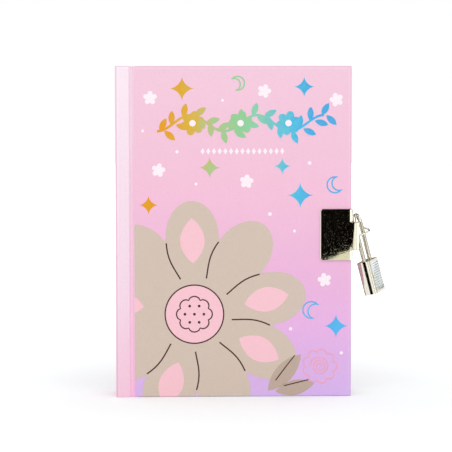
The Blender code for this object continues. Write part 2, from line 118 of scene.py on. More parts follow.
MIDDLE = Vector((0, 0, 0.09))
bpy.ops.object.light_add(type="AREA", location=(0.1, -1.15, 1.5))
lamp = bpy.context.active_object
lamp.name = "soft_lamp"
lamp.data.size = 1.6
lamp.data.energy = 7.6
lamp.rotation_euler = (MIDDLE - lamp.location).to_track_quat("-Z", "Y").to_euler()

# The camera stands a metre off, a little to the left and a little above the middle of the cover.
# Its lens, aim and slight roll were fitted to the four edges of the cover.
TARGET = Vector((-0.01422, -0.011, 0.09076))
DISTANCE = 1.0
AZIMUTH = math.radians(-1.7)
ELEVATION = math.radians(3.672)
ROLL = math.radians(-0.068)
SENSOR = 36
FOCAL_PIXELS = 1893.0
PICTURE_PIXELS = 452
flat = math.cos(ELEVATION)
back = Vector((math.sin(AZIMUTH) * flat, -math.cos(AZIMUTH) * flat, math.sin(ELEVATION)))
bpy.ops.object.camera_add(location=TARGET + back * DISTANCE)
camera = bpy.context.active_object
camera.rotation_mode = "QUATERNION"
camera.rotation_quaternion = (-back).to_track_quat("-Z", "Y") @ Quaternion((0, 0, 1), ROLL)
camera.data.sensor_width = SENSOR
camera.data.lens = SENSOR * FOCAL_PIXELS / PICTURE_PIXELS
bpy.context.scene.camera = camera
bpy.context.scene.view_settings.view_transform = "Standard"

# Studio cards, seen only by the metal: what the bright plating shows besides the white room.
# A black one stands before the clasp plate; tan, grey and dark ones ring the set for the padlock.
def card(name, code, corners):
    """A plane whose four corners are pulled into place, hidden from all but mirror rays."""
    bpy.ops.mesh.primitive_plane_add(size=1)
    piece = bpy.context.active_object
    piece.name = name
    for i, corner in zip((0, 1, 3, 2), corners):
        piece.data.vertices[i].co = corner
    made = bpy.data.materials.new(name)
    made.use_nodes = True
    tree = made.node_tree
    tree.nodes.remove(tree.nodes["Principled BSDF"])
    glow = add(tree, "ShaderNodeEmission", {"Color": linear(code)})[0]
    tree.links.new(glow, tree.nodes["Material Output"].inputs["Surface"])
    piece.data.materials.append(made)
    piece.visible_camera = False
    piece.visible_diffuse = False
    piece.visible_shadow = False
    piece.visible_transmission = False


def ray(degrees):
    """A level direction."""
    return Vector((math.cos(math.radians(degrees)), math.sin(math.radians(degrees))))


SLOPED = [(-0.40, -0.6, 0.40), (0.16, -0.6, 0.40), (0.16, -0.6, 0.0552), (-0.40, -0.6, -0.189)]
UNDER = [(0.0, -0.61, 0.10), (0.16, -0.61, 0.10), (0.16, -0.61, 0.0), (0.0, -0.61, 0.0)]
BEFORE = [(-0.08, -0.03, 0.0), (0.005, -0.03, 0.0), (0.005, -0.03, 0.17), (-0.08, -0.03, 0.17)]
OVERHEAD = [(-0.6, -0.2, 1.2), (0.6, -0.2, 1.2), (0.6, 1.2, 1.2), (-0.6, 1.2, 1.2)]
card("black_card_before_the_plate", "#080605", SLOPED)
card("tan_card_under_it", "#F2F0DA", UNDER)
card("tan_card_before_the_cover", "#C9BD9E", BEFORE)
card("brown_card_overhead", "#59534A", OVERHEAD)
LOCK = Vector((0.06, -0.01))
WALLS = [
    ("tan_card_behind", "#857D6C", 62, 118, 1.3, 0.0),
    ("grey_card_right", "#4A5050", 22, 60, 1.3, 0.32),
    ("black_card_right", "#1A1410", 345, 372, 1.0, 0.0),
    ("brown_card_front_right", "#4A4038", 303, 311, 1.0, 0.0),
    ("tan_card_left", "#857D6C", 130, 160, 1.2, 0.0),
]
for name, code, first, last, reach, low in WALLS:
    one, other = (LOCK + reach * ray(end) for end in (first, last))
    card(name, code, [(*one, low), (*other, low), (*other, 1.0), (*one, 1.0)])
FLOORS = [
    ("black_card_on_floor_front", "#120D0A", 246, 262, 0.10, 0.58),
    ("black_card_on_floor_left", "#120D0A", 225, 233, 0.05, 0.50),
    ("red_brown_card_on_floor_left", "#5A2A26", 200, 209, 0.05, 0.50),
    ("tan_card_on_floor_behind", "#766F60", 30, 150, 0.015, 1.30),
]
for name, code, first, last, near, far in FLOORS:
    corners = [(near, first), (near, last), (far, last), (far, first)]
    card(name, code, [(*(LOCK + reach * ray(end)), 0.0005) for reach, end in corners])


# The boards: grey binder's board, die cut, raw and faintly fibrous where it shows.
# They keep the shape of the solids; the covering paper and the paste-downs are glued over them.
def finish(name, sockets):
    """A new Principled material with its plain sockets set."""
    made = bpy.data.materials.new(name)
    made.use_nodes = True
    shader = made.node_tree.nodes["Principled BSDF"]
    for socket, value in sockets.items():
        shader.inputs[socket].default_value = value
    return made, made.node_tree, shader


def surface(tree, shader, colour, height, distance, strength=1.0):
    """Give a finish its colour, and its relief if it has any."""
    tree.links.new(colour, shader.inputs["Base Color"])
    if distance:
        relief = {"Height": height, "Distance": distance, "Strength": strength}
        tree.links.new(add(tree, "ShaderNodeBump", relief)["Normal"], shader.inputs["Normal"])


def grained(name, sockets, scale, detail, stops, distance, strength=1.0):
    """A plain material whose tone and relief follow a grain; its scale is one over its size in metres."""
    made, tree, shader = finish(name, sockets)
    place = add(tree, "ShaderNodeTexCoord")["Object"]
    grain = add(tree, "ShaderNodeTexNoise", {"Vector": place, "Scale": scale, "Detail": detail})["Fac"]
    tone = add(tree, "ShaderNodeValToRGB", {"Fac": grain}, stops)["Color"]
    surface(tree, shader, tone, grain, distance, strength)
    return made


GREYS = [(0.3, "#8A8377"), (0.7, "#A39B8D")]
RAW_BOARD = {"Roughness": 0.92, "Specular IOR Level": 0.2}
greyboard = grained("greyboard_die_cut", RAW_BOARD, 1400.0, 4.0, GREYS, 0.0001)
for name in ("front_board", "back_board", "spine_board"):
    nodes[name].material_slots[0].material = greyboard

# The covering paper: one printed sheet, matt laminated, folded round the boards and into the grooves.
# Its print runs from pink at the head to lilac at the tail, with a fine grain and a soft sheen.
SPINE_X = -0.07247
EDGE_X = 0.05213
HINGE_X = -0.06377
CASE_X = -0.06277
HEIGHT = 0.175
FACE_Y = -0.011
INNER_Y = -0.0077
FOLD = 0.0005
FOLD_SHADE = 0.002
PAPER = 0.00025
FINE_GRAIN = 1500.0  # 0.7 mm, coarser than the real laminate's, so that it shows


def printed(name, stops, streaks, folds, left, right=EDGE_X + 1.0, top=HEIGHT + 1.0):
    """Laminated print that changes with height, with faint upright streaks, and painted shade and a painted
    highlight line along the folded edges.

    The last three say where the folds are; one that is given a metre off isn't there.
    """
    made, tree, shader = finish(name, {"Roughness": 0.42, "Specular IOR Level": 0.35, "Coat Weight": 0.06})
    shader.inputs["Coat Roughness"].default_value = 0.35
    place = add(tree, "ShaderNodeTexCoord")["Object"]
    axes = add(tree, "ShaderNodeSeparateXYZ", {"Vector": place})
    height = add(tree, "ShaderNodeMath", {0: axes["Z"], 1: HEIGHT}, operation="DIVIDE")[0]
    ink = add(tree, "ShaderNodeValToRGB", {"Fac": height}, stops)["Color"]

    grain = add(tree, "ShaderNodeTexNoise", {"Vector": place, "Scale": FINE_GRAIN, "Detail": 3.0})["Fac"]
    long = add(tree, "ShaderNodeMapping", {"Vector": place, "Scale": (1000.0, 1000.0, 7.0)})["Vector"]
    upright = add(tree, "ShaderNodeTexNoise", {"Vector": long, "Scale": 1.0, "Detail": 2.0})["Fac"]
    tones = {"Value": grain, "From Min": 0.3, "From Max": 0.7, "To Min": 1.107, "To Max": 1.159}
    fleck = add(tree, "ShaderNodeMapRange", tones)["Result"]
    tones = {**tones, "Value": upright, "To Min": 1 - streaks, "To Max": 1 + streaks}
    shade = add(tree, "ShaderNodeMapRange", tones)["Result"]
    shade = add(tree, "ShaderNodeMath", {0: fleck, 1: shade}, operation="MULTIPLY")[0]

    from_left = add(tree, "ShaderNodeMath", {0: axes["X"], 1: left}, operation="SUBTRACT")[0]
    from_right = add(tree, "ShaderNodeMath", {0: right, 1: axes["X"]}, operation="SUBTRACT")[0]
    from_top = add(tree, "ShaderNodeMath", {0: top, 1: axes["Z"]}, operation="SUBTRACT")[0]
    near = add(tree, "ShaderNodeMath", {0: from_left, 1: from_right}, operation="MINIMUM")[0]
    near = add(tree, "ShaderNodeMath", {0: near, 1: from_top}, operation="MINIMUM")[0]
    near = add(tree, "ShaderNodeMath", {0: near, 1: 1 / FOLD_SHADE}, operation="MULTIPLY")[0]
    # Painted light: a darker band right at each folded edge stands in for the shade of the rounded edge, and
    # a paler line just inside it is a painted highlight.
    fold = add(tree, "ShaderNodeValToRGB", {"Fac": near}, folds)["Color"]

    colour = add(tree, "ShaderNodeVectorMath", {0: ink, "Scale": shade}, operation="SCALE")["Vector"]
    colour = add(tree, "ShaderNodeVectorMath", {0: colour, 1: fold}, operation="MULTIPLY")["Vector"]
    surface(tree, shader, colour, grain, 0.00004, 0.6)
    return made


# Edge ramps, from the fold inwards: painted shade, then a painted highlight line, then plain paper; the
# spine's left edge gets the same painted shade.
COVER_EDGE_SHADE_AND_HIGHLIGHT = [(0.0, "#E5E1E4"), (1.0, "#F0F0F0"), (0.24, "#E5E1E4"), (0.36, "#F0FAF5"), (0.50, "#F0F8F4")]
SPINE_EDGE_SHADE_AND_HIGHLIGHT = [(0.0, "#E9D4DF"), (1.0, "#F0F0F0"), (0.36, "#E9D4DF"), (0.48, "#EFF2F1"), (0.56, "#F0F8F4")]
COVER_TONES = [(0.0, "#D9B6ED"), (0.99, "#F5C9DD"), (0.12, "#E0B3E8"), (0.20, "#E9B4E7"), (0.35, "#EDB5DD")]
COVER_TONES += [(0.60, "#F5C0DA"), (0.76, "#F4C4DA")]
SPINE_TONES = [(0.0, "#F7C9DE"), (0.99, "#FBE8F3"), (0.16, "#F6CFE3"), (0.30, "#F7D9E9"), (0.70, "#F9E0EE")]
JOINT_TONES = [(0.0, "#FDCCE7"), (0.99, "#F9DEEB"), (0.5, "#F8D4E7"), (0.66, "#F8D6E7"), (0.8, "#F8DCEB")]
BESIDE = CASE_X - 1.0
ABOVE = HEIGHT + 0.0004
cover_print = printed("printed_paper_pink_to_lilac", COVER_TONES, 0.004, COVER_EDGE_SHADE_AND_HIGHLIGHT, BESIDE, EDGE_X, HEIGHT)
spine_print = printed("printed_paper_pale_spine", SPINE_TONES, 0.016, SPINE_EDGE_SHADE_AND_HIGHLIGHT, SPINE_X, top=ABOVE)
joint_print = printed("printed_paper_joint", JOINT_TONES, 0.004, SPINE_EDGE_SHADE_AND_HIGHLIGHT, SPINE_X)


def choose(piece, kind, test):
    """In edit mode, select just the faces or the edges that a test accepts."""
    bpy.ops.object.mode_set(mode="EDIT")
    bpy.ops.mesh.select_mode(type=kind)
    bpy.ops.mesh.select_all(action="DESELECT")
    bpy.ops.object.mode_set(mode="OBJECT")
    for item in piece.data.polygons if kind == "FACE" else piece.data.edges:
        item.select = test(item)
    bpy.ops.object.mode_set(mode="EDIT")


def block(name, low, high):
    """A cube primitive set between two corners, as the start of a piece."""
    bpy.ops.object.select_all(action="DESELECT")
    low = Vector(low)
    high = Vector(high)
    bpy.ops.mesh.primitive_cube_add(size=1, location=(low + high) / 2)
    piece = bpy.context.active_object
    piece.name = name
    piece.scale = high - low
    bpy.ops.object.transform_apply(location=True, rotation=True, scale=True)
    return piece


def thicken(piece, thickness, side):
    """Turn a surface into a sheet, on one side of it."""
    wall = piece.modifiers.new("paper", "SOLIDIFY")
    wall.thickness = thickness
    wall.offset = side
    bpy.ops.object.modifier_apply(modifier="paper")


def settle(piece, body, look, smooth=35):
    """Smooth the piece by angle, give it its finish, and let it ride on its body."""
    bpy.ops.object.mode_set(mode="OBJECT")
    bpy.ops.object.select_all(action="DESELECT")
    piece.select_set(True)
    bpy.context.view_layer.objects.active = piece
    if smooth:
        bpy.ops.object.shade_smooth_by_angle(angle=math.radians(smooth))
    if smooth and body:
        even = piece.modifiers.new("even_shading", "WEIGHTED_NORMAL")
        even.keep_sharp = True
        bpy.ops.object.modifier_apply(modifier="even_shading")
    if not piece.data.materials:
        piece.data.materials.append(look)
    if body:
        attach(piece, body)
    return piece


def covered_board(name, side):
    """The paper on one board: soft folded edges, and turn-ins raised round a sunk middle inside."""
    y = sorted((side * -FACE_Y, side * -INNER_Y))
    turn_in = 0.0135
    piece = block(name, (CASE_X, y[0], 0), (EDGE_X, y[1], HEIGHT))
    bpy.ops.object.mode_set(mode="EDIT")
    bpy.ops.mesh.select_mode(type="EDGE")
    bpy.ops.mesh.select_all(action="SELECT")
    bpy.ops.mesh.bevel(offset=FOLD, segments=4)
    choose(piece, "FACE", lambda face: face.normal.y * side < -0.99 and face.area > 0.01)
    bpy.ops.mesh.inset(thickness=turn_in, depth=-0.0002)
    return piece


def groove(name, side):
    """The paper's joint strip, pressed into the groove between the spine and the board."""
    half, middle, depth = 0.0028, HINGE_X - 0.0002, 0.00125
    floor_share, wall_share = 0.16, 0.34
    bpy.ops.object.select_all(action="DESELECT")
    bpy.ops.mesh.primitive_grid_add(x_subdivisions=40, y_subdivisions=6, size=1)
    piece = bpy.context.active_object
    piece.name = name
    for v in piece.data.vertices:
        across = v.co.x * 2
        edge = min(1.0, max(0.0, (abs(across) - floor_share) / wall_share))
        sink = 1 - edge * edge * (3 - 2 * edge)
        outside = FACE_Y + 0.00012 + depth * sink
        v.co = (middle + half * across, side * -outside, HEIGHT * (v.co.y + 0.5))
    thicken(piece, PAPER, 1.0 if side > 0 else -1.0)
    bpy.ops.object.mode_set(mode="EDIT")
    bpy.ops.mesh.select_all(action="SELECT")
    bpy.ops.mesh.normals_make_consistent(inside=False)
    return piece


for side, word in ((-1, "front"), (1, "back")):
    cover = covered_board(f"{word}_case_paper", side)
    settle(cover, f"{word}_cover", cover_print)
    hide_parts(f"{word}_cover_paper")
    strip = groove(f"{word}_joint_paper", side)
    settle(strip, None, joint_print, 60)
    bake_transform(strip)

spine = block("spine_case_paper", (SPINE_X, FACE_Y, 0), (HINGE_X - 0.0016, -FACE_Y, HEIGHT))
choose(spine, "FACE", lambda face: face.normal.x > 0.9 or abs(face.normal.z) > 0.9)
bpy.ops.mesh.delete(type="FACE")
points = spine.data.vertices


def upright(edge):
    """Whether an edge is one of the two long corners of the spine."""
    one, other = (points[i].co for i in edge.vertices)
    return max(one.x, other.x) < SPINE_X + 0.00001 and abs(one.z - other.z) > 0.1


choose(spine, "EDGE", upright)
bpy.ops.mesh.bevel(offset=0.0008, segments=6)
bpy.ops.object.mode_set(mode="OBJECT")
thicken(spine, PAPER, -1.0)
settle(spine, "text_block", spine_print)
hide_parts("spine_cover_paper")

INSIDE_X, INSIDE_Y = -0.06985, 0.01072
low = (SPINE_X + 0.00027, -INSIDE_Y, 0.00002)
turned = block("spine_turned_in_paper", low, (INSIDE_X, INSIDE_Y, HEIGHT - 0.00002))
choose(turned, "FACE", lambda face: face.normal.x < -0.9)
bpy.ops.mesh.delete(type="FACE")
bpy.ops.object.mode_set(mode="OBJECT")
thicken(turned, 0.0002, -1.0)
settle(turned, "text_block", spine_print)

# The endpapers and the paste-downs: smooth white uncoated paper with a faint fibre.
# The paste-downs are glued to the boards; each free endpaper lies next to the leaves.
WHITES = [(0.35, "#F7F4EF"), (0.65, "#FBF9F5")]
UNCOATED = {"Roughness": 0.85, "Specular IOR Level": 0.25}
endpaper = grained("white_uncoated_endpaper", UNCOATED, 900.0, 5.0, WHITES, 0.00003, 0.5)
for name in ("front_pastedown", "back_pastedown"):
    nodes[name].material_slots[0].material = endpaper

# The leaves: ivory writing paper in packets of twelve, cut square and glued along the sewn back.
# Each leaf is a sheet of its own, so the cut edges show as fine lines with a little unevenness.
LEAF_X = -0.06302
BLOCK_END = 0.04913
TAIL_Z = 0.003
HEAD_Z = 0.172
PACKET = 0.001633
PITCH = PACKET / 12
CUT_LINES = 0.000136
LEAF = 0.000112
FIRST_LEAF_Y = -0.0064
FLYLEAF = 0.0002
FLYLEAF_Y = -0.0069
BENDS = (0.0008, 0.002, 0.0035, 0.005, 0.007, 0.009, 0.0115, 0.014)


def waves(tree, along, length):
    """Even lines of one spacing, as a sine."""
    turns = add(tree, "ShaderNodeMath", {0: along, 1: 2 * math.pi / length}, operation="MULTIPLY")[0]
    return add(tree, "ShaderNodeMath", {0: turns}, operation="SINE")[0]


ivory, tree, shader = finish("ivory_writing_paper", {"Roughness": 0.88, "Specular IOR Level": 0.2})
place = add(tree, "ShaderNodeTexCoord")["Object"]
axes = add(tree, "ShaderNodeSeparateXYZ", {"Vector": place})
fibres = add(tree, "ShaderNodeTexNoise", {"Vector": place, "Scale": 700.0, "Detail": 5.0})["Fac"]
mixed = {0: waves(tree, axes["Y"], CUT_LINES), 1: 0.06, 2: fibres}
mixed = add(tree, "ShaderNodeMath", mixed, operation="MULTIPLY_ADD")[0]
tone = add(tree, "ShaderNodeValToRGB", {"Fac": mixed}, [(0.3, "#F3ECDB"), (0.7, "#FCF8EE")])["Color"]
surface(tree, shader, tone, fibres, 0.00003, 0.5)


def sheets(name, first_y, count, pitch, thickness, body, look, seed):
    """A packet of loose leaves, cut finely near the fold so that it can bend there."""
    piece = block(name, (LEAF_X - 0.0002, first_y, TAIL_Z), (BLOCK_END, first_y + thickness, HEAD_Z))
    bpy.ops.object.mode_set(mode="EDIT")
    for cut in BENDS:
        bpy.ops.mesh.select_all(action="SELECT")
        bpy.ops.mesh.bisect(plane_co=(LEAF_X + cut, 0, 0), plane_no=(1, 0, 0))
    bpy.ops.object.mode_set(mode="OBJECT")
    if count > 1:
        repeat = piece.modifiers.new("leaves", "ARRAY")
        repeat.use_relative_offset = False
        repeat.use_constant_offset = True
        repeat.constant_offset_displace = (0, pitch, 0)
        repeat.count = count
        bpy.ops.object.modifier_apply(modifier="leaves")
    dice = random.Random(seed)
    trims = [(dice.uniform(-0.00016, 0.0), dice.uniform(-0.00009, 0.00009)) for _ in range(count)]
    for v in piece.data.vertices:
        leaf = min(count - 1, int((v.co.y - first_y) / pitch + 0.02))
        if v.co.x > BLOCK_END - 0.001:
            v.co.x += trims[leaf][0]
        v.co.z += trims[leaf][1]
    settle(piece, None if body != "text_block" else body, look, 0)
    if body != "text_block":
        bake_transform(piece)
    return piece


for i in range(8):
    body = f"packet_{i + 1}" if i < 7 else "text_block"
    first_y = FIRST_LEAF_Y + i * PACKET
    packet = sheets(f"writing_leaves_{i + 1}", first_y, 12, PITCH, LEAF, body, ivory, i)
    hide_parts(f"leaves_{i + 1}")
flyleaf = sheets("front_free_endpaper", FLYLEAF_Y, 1, 1.0, FLYLEAF, "flyleaf", endpaper, 20)
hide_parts("front_flyleaf")
nodes["back_flyleaf"].material_slots[0].material = endpaper

# The back of the block: rounded folds under glue, a strip of mull, and sewn bands at head and tail.
# The mull shows its open weave, and the bands the rows of pink and white stitches across them.
nodes["sewn_back"].material_slots[0].material = ivory
THREAD = 0.0006
mull, tree, shader = finish("open_weave_mull", {"Roughness": 0.95, "Specular IOR Level": 0.1})
axes = add(tree, "ShaderNodeSeparateXYZ", {"Vector": add(tree, "ShaderNodeTexCoord")["Object"]})
threads = {0: waves(tree, axes["Y"], THREAD), 1: waves(tree, axes["Z"], THREAD)}
weave = add(tree, "ShaderNodeMath", threads, operation="MULTIPLY")[0]
tone = add(tree, "ShaderNodeValToRGB", {"Fac": weave}, [(0.0, "#DAD5C8"), (0.6, "#F0ECE2")])["Color"]
surface(tree, shader, tone, weave, 0.00008)
nodes["spine_lining"].material_slots[0].material = mull
STRIPE = 0.0011
cotton, tree, shader = finish("striped_sewing_cotton", {"Roughness": 0.8, "Specular IOR Level": 0.3})
axes = add(tree, "ShaderNodeSeparateXYZ", {"Vector": add(tree, "ShaderNodeTexCoord")["Object"]})
stripes = waves(tree, axes["Y"], STRIPE)
tone = add(tree, "ShaderNodeValToRGB", {"Fac": stripes}, [(0.0, "#FBF5F4"), (0.25, "#E9A9C4")])["Color"]
surface(tree, shader, tone, stripes, 0.00012)
for name in ("head_band", "tail_band"):
    nodes[name].material_slots[0].material = cotton


# The printed design on the front: a large cropped daisy, a foil garland and a scatter of small marks.
# Flat inks are thin films on the paper; the foil is stamped hot, so it stands a hair proud and glints.
def ink(name, code):
    """One flat ink with the laminate's fine grain."""
    made, tree, shader = finish(name, {"Roughness": 0.45, "Specular IOR Level": 0.35})
    place = add(tree, "ShaderNodeTexCoord")["Object"]
    grain = add(tree, "ShaderNodeTexNoise", {"Vector": place, "Scale": FINE_GRAIN, "Detail": 3.0})["Fac"]
    flecks = {"Value": grain, "From Min": 0.3, "From Max": 0.7, "To Min": 0.975, "To Max": 1.02}
    shade = {0: linear(code)[:3], "Scale": add(tree, "ShaderNodeMapRange", flecks)["Result"]}
    colour = add(tree, "ShaderNodeVectorMath", shade, operation="SCALE")["Vector"]
    surface(tree, shader, colour, grain, 0.00004, 0.6)
    return made


FOIL_LAYER = {"Metallic": 0.3, "Roughness": 0.32, "Specular IOR Level": 0.5}
foil, tree, shader = finish("rainbow_stamping_foil", FOIL_LAYER)
place = add(tree, "ShaderNodeTexCoord")["Object"]
axes = add(tree, "ShaderNodeSeparateXYZ", {"Vector": place})
glitter = add(tree, "ShaderNodeTexNoise", {"Vector": place, "Scale": 420.0, "Detail": 3.0})["Fac"]
across = {"Value": axes["X"], "From Min": -0.052, "From Max": 0.042}
across = add(tree, "ShaderNodeMapRange", across)["Result"]
drift = add(tree, "ShaderNodeMath", {0: glitter, 1: 0.22, 2: across}, operation="MULTIPLY_ADD")[0]
RAINBOW = [(0.15, "#F3A81E"), (1.0, "#55B9F2"), (0.33, "#E5BF4A"), (0.44, "#B6D39B"), (0.60, "#98DAA4")]
RAINBOW += [(0.72, "#90DAC4"), (0.80, "#7CD9E7"), (0.90, "#57CEF7")]
surface(tree, shader, add(tree, "ShaderNodeValToRGB", {"Fac": drift}, RAINBOW)["Color"], glitter, 0.00008)

taupe = ink("taupe_ink", "#D3C1B3")
stone = ink("stone_ink", "#BFAA9A")
blush = ink("blush_ink", "#F8C5D0")
brown = ink("brown_ink", "#4A2B28")
white = ink("pale_pink_ink", "#FDEFF6")
coral = ink("coral_ink", "#F3A6B8")
FIRST_FILM = 0.00004
SECOND_FILM = 0.00006
THIRD_FILM = 0.00008
FOURTH_FILM = 0.00010
FIFTH_FILM = 0.00012
FOLDED_EDGES = ((0, CASE_X), (2, 0.0))
FOLD_CUTS = (0.707, 0.383, 0.0)


def film(name, outlines, lift, look):
    """Shapes of ink drawn from filled circles, joined into one film that follows the paper's folds."""
    made = []
    for outline in outlines:
        bpy.ops.object.select_all(action="DESELECT")
        bpy.ops.mesh.primitive_circle_add(vertices=len(outline), radius=1, fill_type="NGON")
        shape = bpy.context.active_object
        for v, (x, z) in zip(shape.data.vertices, outline):
            v.co = (x, FACE_Y - lift, z)
        made.append(shape)
    for shape in made:
        shape.select_set(True)
    if len(made) > 1:
        bpy.ops.object.join()
    piece = bpy.context.active_object
    piece.name = name
    bpy.ops.object.mode_set(mode="EDIT")
    for axis, start in FOLDED_EDGES:
        for share in FOLD_CUTS:
            plane = [start + FOLD * (1 - share) if i == axis else 0 for i in range(3)]
            away = [-float(i == axis) for i in range(3)]
            bpy.ops.mesh.select_all(action="SELECT")
            bpy.ops.mesh.bisect(plane_co=plane, plane_no=away, clear_outer=share > 0.5)
    bpy.ops.mesh.select_all(action="SELECT")
    bpy.ops.mesh.extrude_region_move(TRANSFORM_OT_translate={"value": (0, lift - 0.00001, 0)})
    bpy.ops.mesh.select_all(action="SELECT")
    bpy.ops.mesh.normals_make_consistent(inside=False)
    bpy.ops.object.mode_set(mode="OBJECT")
    for v in piece.data.vertices:
        for axis, start in FOLDED_EDGES:
            over = max(0.0, start + FOLD - v.co[axis])
            v.co.y += FOLD - math.sqrt(FOLD**2 - over**2)
    return settle(piece, "front_cover", look, 0)


def round_wire(name, paths, radius, roundness):
    """A round section along each path of points, made a mesh with its end caps joined on."""
    curve = bpy.data.curves.new(name, "CURVE")
    curve.dimensions = "3D"
    curve.bevel_depth = radius
    curve.bevel_resolution = roundness
    curve.use_fill_caps = True
    for path, closed in paths:
        spline = curve.splines.new("POLY")
        spline.points.add(len(path) - 1)
        for point, place in zip(spline.points, path):
            point.co = (*place, 1)
        spline.use_cyclic_u = closed
    piece = bpy.data.objects.new(name, curve)
    bpy.context.scene.collection.objects.link(piece)
    bpy.ops.object.select_all(action="DESELECT")
    piece.select_set(True)
    bpy.context.view_layer.objects.active = piece
    bpy.ops.object.convert(target="MESH")
    bpy.ops.object.mode_set(mode="EDIT")
    bpy.ops.mesh.select_all(action="SELECT")
    bpy.ops.mesh.remove_doubles(threshold=0.000001)
    bpy.ops.object.mode_set(mode="OBJECT")
    return bpy.context.active_object


def line(name, paths, width, lift, look):
    """Drawn lines: round wires along each path, pressed flat on to the paper."""
    paths = [([(x, 0, z) for x, z in path], closed) for path, closed in paths]
    piece = round_wire(name, paths, width / 2, 2)
    for v in piece.data.vertices:
        v.co.y = FACE_Y - lift + v.co.y * 0.12
    return settle(piece, "front_cover", look, 60)


def ring(x, z, radius, count=40, lobes=0, depth=0.0, turn=0.0):
    """Points round a centre, in millimetres, with an even number of soft lobes if wanted."""
    points = []
    for i in range(count):
        angle = 2 * math.pi * i / count
        lobe = abs(math.cos(lobes * (angle - turn) / 2)) ** 0.7
        reach = radius * (1 - depth + depth * lobe) if lobes else radius
        points.append(((x + reach * math.cos(angle)) / 1000, (z + reach * math.sin(angle)) / 1000))
    return points


def leaf(x, z, length, width, turn, count=24):
    """An almond from its stalk end, in millimetres, turned by an angle in degrees."""
    angle = math.radians(turn)
    points = []
    for i in range(count):
        t = i / count * 2
        along = t if t <= 1 else 2 - t
        out = width / 2 * math.sin(math.pi * along) ** 0.8 * (1 if t <= 1 else -1)
        a = along * length
        px = x + a * math.cos(angle) - out * math.sin(angle)
        pz = z + a * math.sin(angle) + out * math.cos(angle)
        points.append((px / 1000, pz / 1000))
    return points


# The daisy: nine petals round a centre, cropped by the cover's edges, with dark veins and seeds.
# Its inks lie one over the other, each film a step above the last; two leaves stand beside it.
DAISY = (-31.0, 44.0)
PETALS = 9
PETAL_TURN = 0.2
VEIN_START, VEIN_END = 20.0, 40.5
film("daisy_petals", [ring(*DAISY, 60, 270, PETALS, 0.34, PETAL_TURN)], FIRST_FILM, taupe)
inner = []
veins = []
for i in range(PETALS):
    angle = PETAL_TURN + 2 * math.pi * i / PETALS
    if i % 2 == 0:
        stalk = (DAISY[0] + 27 * math.cos(angle), DAISY[1] + 27 * math.sin(angle))
        inner.append(leaf(*stalk, 24, 13, math.degrees(angle)))
    notch = angle + math.pi / PETALS
    path = []
    for k in range(9):
        reach = VEIN_START + (VEIN_END - VEIN_START) * k / 8
        bend = notch + 0.05 * math.sin(k / 8 * math.pi)
        path.append(((DAISY[0] + reach * math.cos(bend)) / 1000, (DAISY[1] + reach * math.sin(bend)) / 1000))
    if path[-1][0] > CASE_X + 0.0019 and path[-1][1] > 0.001:
        veins.append((path, False))
film("daisy_inner_petals", inner, SECOND_FILM, blush)
line("daisy_lines", veins, 0.00075, SECOND_FILM, brown)
film("daisy_centre", [ring(*DAISY, 15.5, 64)], SECOND_FILM, blush)
rings = [(ring(*DAISY, 15.5, 64), True), (ring(*DAISY, 9.5, 48, 8, 0.16), True)]
line("daisy_centre_ring", rings, 0.0007, THIRD_FILM, brown)
spots = [(0, 0)] + [(5.0, k * math.pi / 3) for k in range(6)]
seeds = [ring(DAISY[0] + r * math.cos(a), DAISY[1] + r * math.sin(a), 0.75, 12) for r, a in spots]
film("daisy_seeds", seeds, THIRD_FILM, brown)
film("side_leaves", [leaf(8, 3, 26, 9.5, 48), leaf(12, 2.5, 21, 8, 12)], SECOND_FILM, stone)
LEAF_RIBS = [[(0.012, 0.0085), (0.018, 0.0165), (0.0222, 0.0218)]]
LEAF_RIBS += [[(0.0165, 0.0056), (0.023, 0.0072), (0.0295, 0.0088)]]
line("side_leaf_ribs", [(rib, False) for rib in LEAF_RIBS], 0.0006, THIRD_FILM, brown)

# The garland: a waving stem with pairs of leaves and three blossoms, and a row of lozenges under it.
# The leaves that cross are on two films, so that no two faces lie in one plane.
GARLAND_Z = 145.0
SWING = 4.2
WAVE = 35.2
BLOSSOMS = (-31.8, -6.5, 18.8)


def wave_at(x):
    """How far the stem's wave has come at a place in millimetres."""
    return (x + 6.5) * 2 * math.pi / WAVE


stem = []
for i in range(97):
    x = -50.5 + 88.0 * i / 96
    stem.append((x / 1000, (GARLAND_Z + SWING * math.sin(wave_at(x))) / 1000))
line("garland_stem", [(stem, False)], 0.0013, FIRST_FILM, foil)
leaves = [[], []]
for i in range(15):
    x = -49.0 + 6.1 * i
    z = GARLAND_Z + SWING * math.sin(wave_at(x))
    slope = math.degrees(math.atan(SWING * 2 * math.pi / WAVE * math.cos(wave_at(x))))
    leaves[i % 2].append(leaf(x, z, 7.4, 3.3, slope + 52))
    leaves[(i + 1) % 2].append(leaf(x + 2.4, z, 7.4, 3.3, slope - 52))
film("garland_leaves", leaves[0], SECOND_FILM, foil)
film("garland_other_leaves", leaves[1], THIRD_FILM, foil)
film("garland_blossoms", [ring(x, GARLAND_Z, 6.4, 80, 6, 0.38, 0.3) for x in BLOSSOMS], FOURTH_FILM, foil)
film("garland_blossom_eyes", [ring(x, GARLAND_Z, 1.7, 20) for x in BLOSSOMS], FIFTH_FILM, white)
lozenges = []
for k in range(15):
    x = -26.5 + 3.0 * k
    corners = ((x - 1.1, 130.2), (x, 132.0), (x + 1.1, 130.2), (x, 128.4))
    lozenges.append([(across / 1000, up / 1000) for across, up in corners])
film("row_of_lozenges", lozenges, FIRST_FILM, white)

# The scatter: small flowers, sparkles, moons, dots and one rosette, in ink or foil.
# Each mark is given by its place in millimetres, then its size or its turn.
def sparkle(x, z, radius):
    """A four-pointed star with hollow sides."""
    points = []
    for i in range(48):
        turns = (math.cos(math.pi * i / 24), math.sin(math.pi * i / 24))
        out, up = (math.copysign(abs(turn) ** 3.2, turn) for turn in turns)
        points.append(((x + radius * out) / 1000, (z + radius * up) / 1000))
    return points


